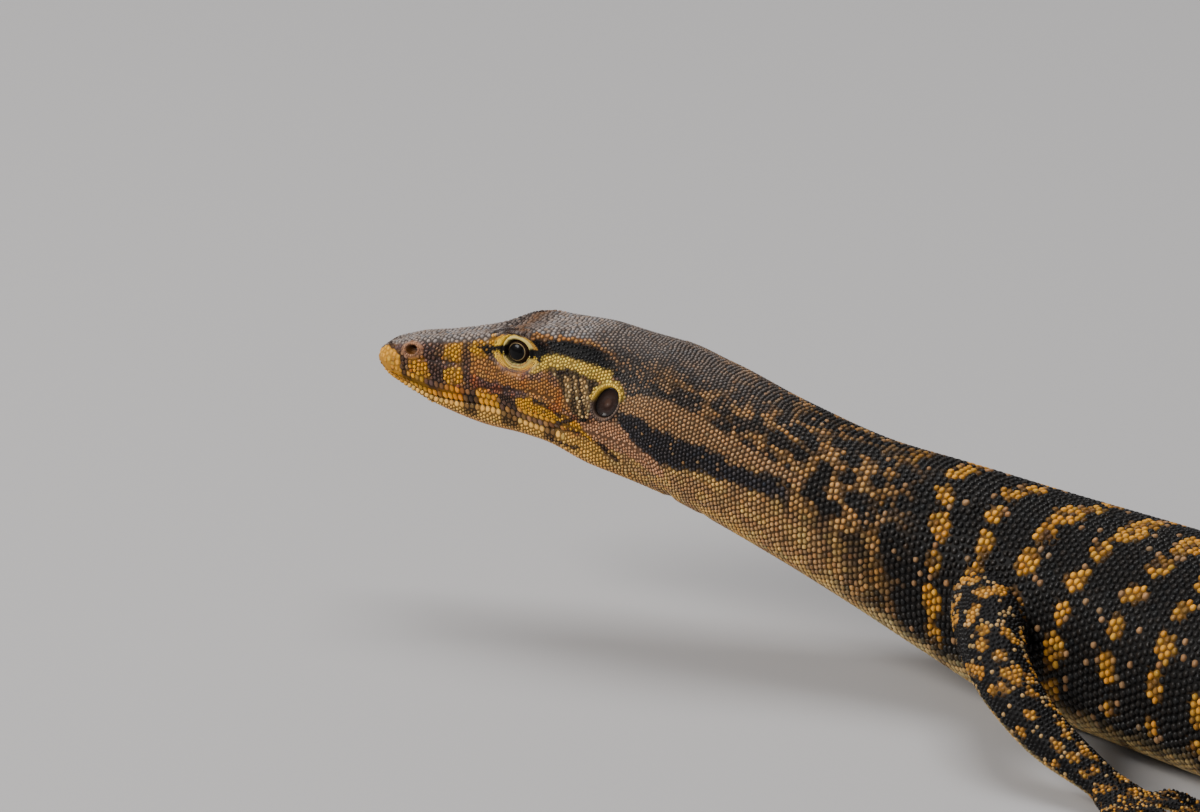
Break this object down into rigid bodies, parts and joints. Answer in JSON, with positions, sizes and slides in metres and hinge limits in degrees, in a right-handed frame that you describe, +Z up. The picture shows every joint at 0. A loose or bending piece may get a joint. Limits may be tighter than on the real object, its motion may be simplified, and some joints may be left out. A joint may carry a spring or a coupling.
{
  "type": "water monitor lizard",
  "caption": "Life-size model of a water monitor lizard lying on its belly, head raised, legs swept back, tail in a gentle wave.",
  "frame": {"origin": "On the floor, at the middle of the animal's bounding box in plan.", "axes": "+X towards the tail along the longest extent, so the snout points along -X; +Z up; the animal's left side faces -Y."},
  "size_m": [1.3472, 0.2207, 0.1131],
  "materials": {
    "skin": "glossy wet scales, black with yellow and ochre markings",
    "eye": "gloss",
    "eardrum": "satin",
    "claw": "satin horn"
  },
  "bodies": {
    "root": {"head": "skin", "neck": "skin", "torso": "skin", "hips": "skin", "tail_1": "skin", "tail_2": "skin", "tail_3": "skin", "tail_4": "skin", "tail_5": "skin", "eye_left": "eye", "eardrum_left": "eardrum", "upper_arm_left": "skin", "forearm_left": "skin", "hand_left": "skin", "hand_claw_1_left": "claw", "hand_claw_2_left": "claw", "hand_claw_3_left": "claw", "hand_claw_4_left": "claw", "hand_claw_5_left": "claw", "thigh_left": "skin", "shank_left": "skin", "foot_left": "skin", "foot_claw_1_left": "claw", "foot_claw_2_left": "claw", "foot_claw_3_left": "claw", "foot_claw_4_left": "claw", "foot_claw_5_left": "claw", "eye_right": "eye", "eardrum_right": "eardrum", "upper_arm_right": "skin", "forearm_right": "skin", "hand_right": "skin", "hand_claw_1_right": "claw", "hand_claw_2_right": "claw", "hand_claw_3_right": "claw", "hand_claw_4_right": "claw", "hand_claw_5_right": "claw", "thigh_right": "skin", "shank_right": "skin", "foot_right": "skin", "foot_claw_1_right": "claw", "foot_claw_2_right": "claw", "foot_claw_3_right": "claw", "foot_claw_4_right": "claw", "foot_claw_5_right": "claw"}
  },
  "joints": []
}
